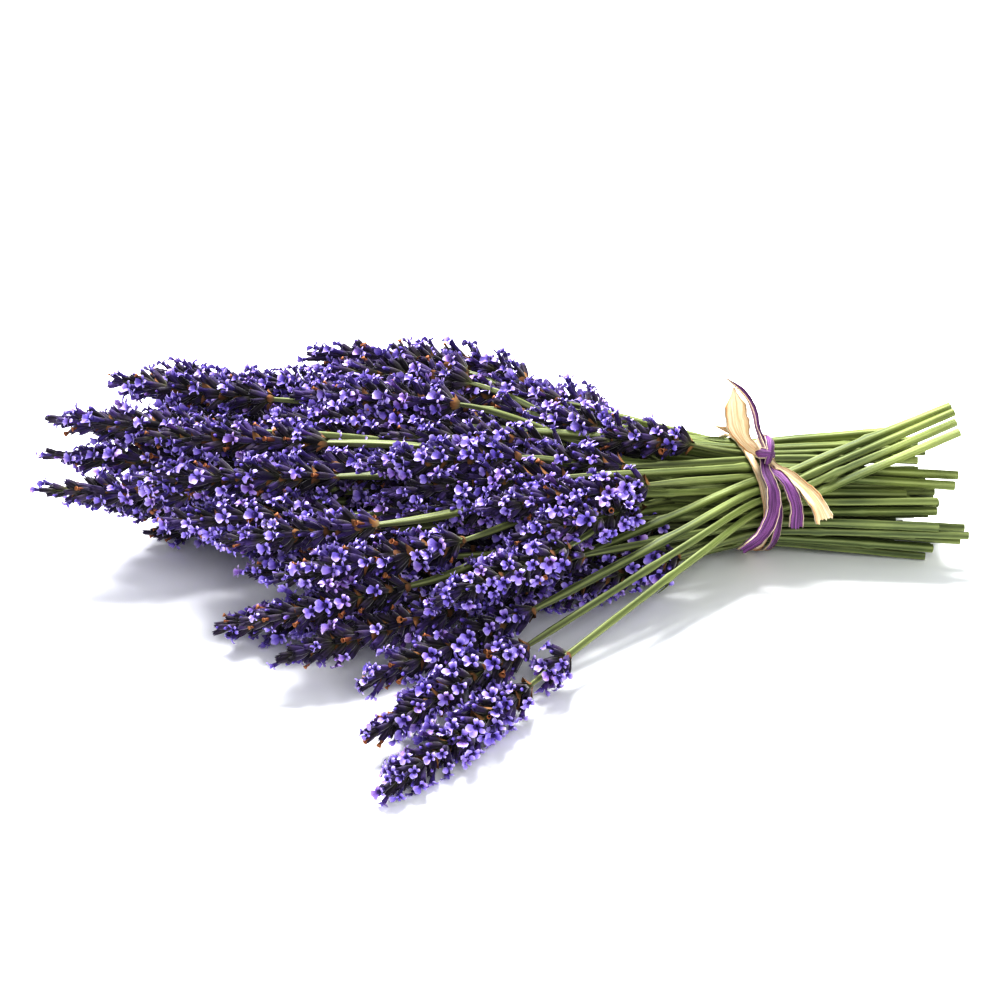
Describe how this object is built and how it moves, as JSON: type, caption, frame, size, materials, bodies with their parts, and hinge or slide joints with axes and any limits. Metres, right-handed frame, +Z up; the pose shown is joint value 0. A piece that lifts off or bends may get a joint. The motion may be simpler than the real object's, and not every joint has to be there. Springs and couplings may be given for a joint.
{
  "type": "bunch of dried lavender",
  "caption": "Lying bunch of dried lavender stalks with flower spikes, tied round the stems with knotted purple and cream raffia.",
  "frame": {"origin": "on the surface the bunch lies on, in the middle of the purple strand's flat underside", "axes": "+X along the bunch towards the cut ends, flower spikes towards -X, +Z up; -Y is the front, where the loose stalks lie"},
  "size_m": [0.2451, 0.1753, 0.0493],
  "materials": {
    "stalk": "dry, matte; green stem, violet florets on dark calyces",
    "inner_stems": "dry, matte",
    "purple_raffia": "satin, fibrous",
    "cream_raffia": "satin, fibrous"
  },
  "bodies": {
    "root": {"stalk_01": "stalk", "stalk_02": "stalk", "stalk_03": "stalk", "stalk_04": "stalk", "stalk_05": "stalk", "stalk_06": "stalk", "stalk_07": "stalk", "stalk_08": "stalk", "stalk_09": "stalk", "stalk_10": "stalk", "stalk_11": "stalk", "stalk_12": "stalk", "stalk_13": "stalk", "stalk_14": "stalk", "stalk_15": "stalk", "stalk_16": "stalk", "stalk_17": "stalk", "stalk_18": "stalk", "stalk_19": "stalk", "stalk_20": "stalk", "stalk_21": "stalk", "stalk_22": "stalk", "stalk_23": "stalk", "stalk_24": "stalk", "stalk_25": "stalk", "stalk_26": "stalk", "stalk_27": "stalk", "stalk_28": "stalk", "stalk_29": "stalk", "stalk_30": "stalk", "stalk_31": "stalk", "stalk_32": "stalk", "stalk_33": "stalk", "stalk_34": "stalk", "stalk_35": "stalk", "stalk_36": "stalk", "stalk_37": "stalk", "stalk_38": "stalk", "stalk_39": "stalk", "stalk_40": "stalk", "stalk_41": "stalk", "stalk_42": "stalk", "stalk_43": "stalk", "stalk_44": "stalk", "stalk_45": "stalk", "stalk_46": "stalk", "stalk_47": "stalk", "stalk_48": "stalk", "stalk_49": "stalk", "stalk_50": "stalk", "stalk_51": "stalk", "stalk_52": "stalk", "stalk_53": "stalk", "stalk_54": "stalk", "stalk_55": "stalk", "stalk_56": "stalk", "inner_stems": "inner_stems", "purple_raffia": "purple_raffia", "cream_raffia": "cream_raffia"}
  },
  "joints": []
}
